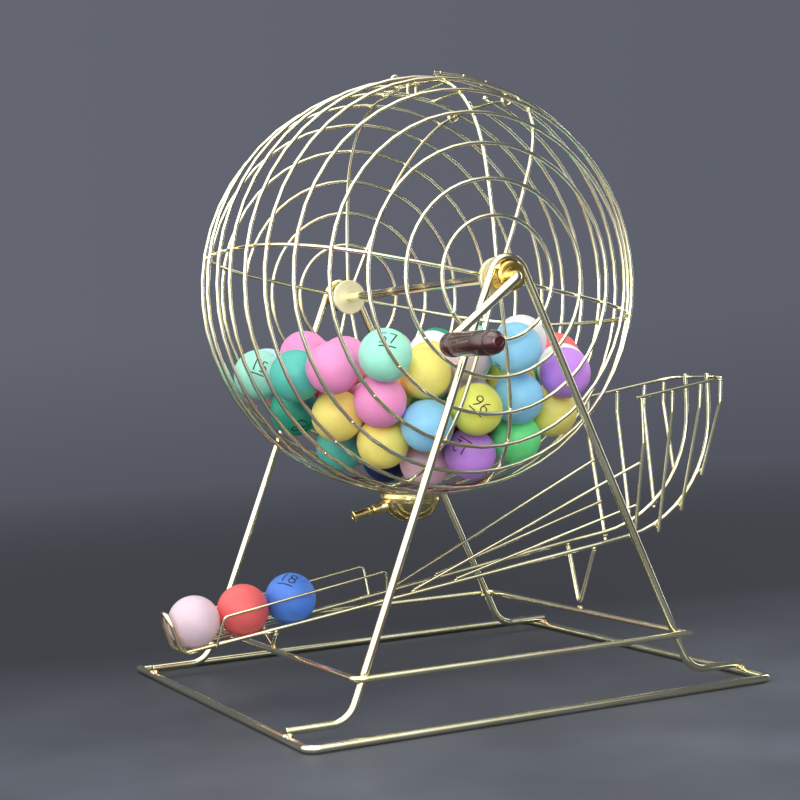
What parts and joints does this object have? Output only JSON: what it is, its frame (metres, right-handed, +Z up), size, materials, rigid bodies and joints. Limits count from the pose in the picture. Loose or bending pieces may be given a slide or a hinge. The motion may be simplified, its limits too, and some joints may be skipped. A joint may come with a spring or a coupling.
{
  "type": "hand-cranked lottery ball machine",
  "caption": "Round wire cage of numbered balls turned by a crank on a rod stand, with a hinged filling door, an exit cup and a sloping ball chute with a scoop.",
  "frame": {"origin": "on the table plane below the middle of the cage", "axes": "+X along the chute towards the scoop, -Y towards the crank, +Z up"},
  "size_m": [0.5015, 0.4377, 0.4929],
  "materials": {
    "plated_rod": "polished pale gold plating on steel rod",
    "plated_wire": "polished pale gold plating on steel wire",
    "gold_bush": "rich gold, satin",
    "hub_metal": "pale gold plated",
    "polished_brass": "polished",
    "lacquered_wood": "glossy burgundy lacquer",
    "balls_lower": "matte pastel",
    "balls_middle": "matte pastel",
    "balls_upper": "matte pastel",
    "ball_blush": "matte",
    "ball_red": "matte",
    "ball_blue": "matte"
  },
  "bodies": {
    "stand": {"floor_frame": "plated_rod", "floor_back_rod": "plated_rod", "front_legs": "plated_rod", "rear_legs": "plated_rod", "brace_frame": "plated_rod", "brace_back_rod": "plated_rod", "front_bush": "gold_bush", "rear_bush": "gold_bush", "chute_rails": "plated_rod", "strut_left": "plated_rod", "strut_right": "plated_rod", "guard_near": "plated_rod", "guard_far": "plated_rod", "funnel_upper": "plated_rod", "funnel_lower": "plated_rod", "scoop_rim": "plated_rod", "scoop_posts_near": "plated_rod", "scoop_posts_far": "plated_rod", "balls_heap_lower": "balls_lower", "balls_heap_middle": "balls_middle", "balls_heap_upper": "balls_upper"},
    "cage": {"cage_ring_1": "plated_wire", "cage_ring_2": "plated_wire", "cage_ring_3": "plated_wire", "cage_ring_4": "plated_wire", "cage_ring_5": "plated_wire", "cage_ring_6": "plated_wire", "cage_ring_7": "plated_wire", "cage_ring_8": "plated_wire", "cage_ring_9": "plated_wire", "cage_ring_10": "plated_wire", "cage_ring_11": "plated_wire", "cage_ring_12": "plated_wire", "cage_ring_13": "plated_wire", "cage_ring_14": "plated_wire", "cage_ring_15": "plated_wire", "cage_ring_16": "plated_wire", "cage_side_wires": "plated_wire", "cage_top_wires": "plated_wire", "cage_bottom_wires": "plated_wire", "front_hub_disc": "hub_metal", "rear_hub_disc": "hub_metal", "crank_axle": "plated_rod", "rear_collar": "hub_metal", "exit_cup": "polished_brass", "latch_ring": "plated_wire"},
    "grip": {"crank_grip": "lacquered_wood"},
    "door": {"door_panel": "plated_wire", "door_pull": "plated_wire"},
    "pin": {"gate_pin": "polished_brass"},
    "ball_1": {"chute_ball_1": "ball_blush"},
    "ball_2": {"chute_ball_2": "ball_red"},
    "ball_3": {"chute_ball_3": "ball_blue"}
  },
  "joints": [
    {"name": "cage_spin", "type": "hinge", "parent": "stand", "child": "cage", "pos_m": [0, 0, 0.315], "axis": [0, 1, 0], "continuous": true},
    {"name": "grip_spin", "type": "hinge", "parent": "cage", "child": "grip", "pos_m": [-0.06389, -0.21, 0.26686], "axis": [0, -1, 0], "continuous": true},
    {"name": "door_hinge", "type": "hinge", "parent": "cage", "child": "door", "pos_m": [0.0653, 0, 0.46031], "axis": [0, 1, 0], "range_deg": [0, 100]},
    {"name": "pin_pull", "type": "slide", "parent": "cage", "child": "pin", "axis": [-0.9789, 0, -0.2045], "range_m": [0, 0.008]},
    {"name": "ball_1_lift", "type": "slide", "parent": "stand", "child": "ball_1", "axis": [-0.1341, 0, 0.991], "range_m": [0, 0.03]},
    {"name": "ball_2_lift", "type": "slide", "parent": "stand", "child": "ball_2", "axis": [-0.1341, 0, 0.991], "range_m": [0, 0.03]},
    {"name": "ball_3_lift", "type": "slide", "parent": "stand", "child": "ball_3", "axis": [-0.1341, 0, 0.991], "range_m": [0, 0.03]}
  ]
}
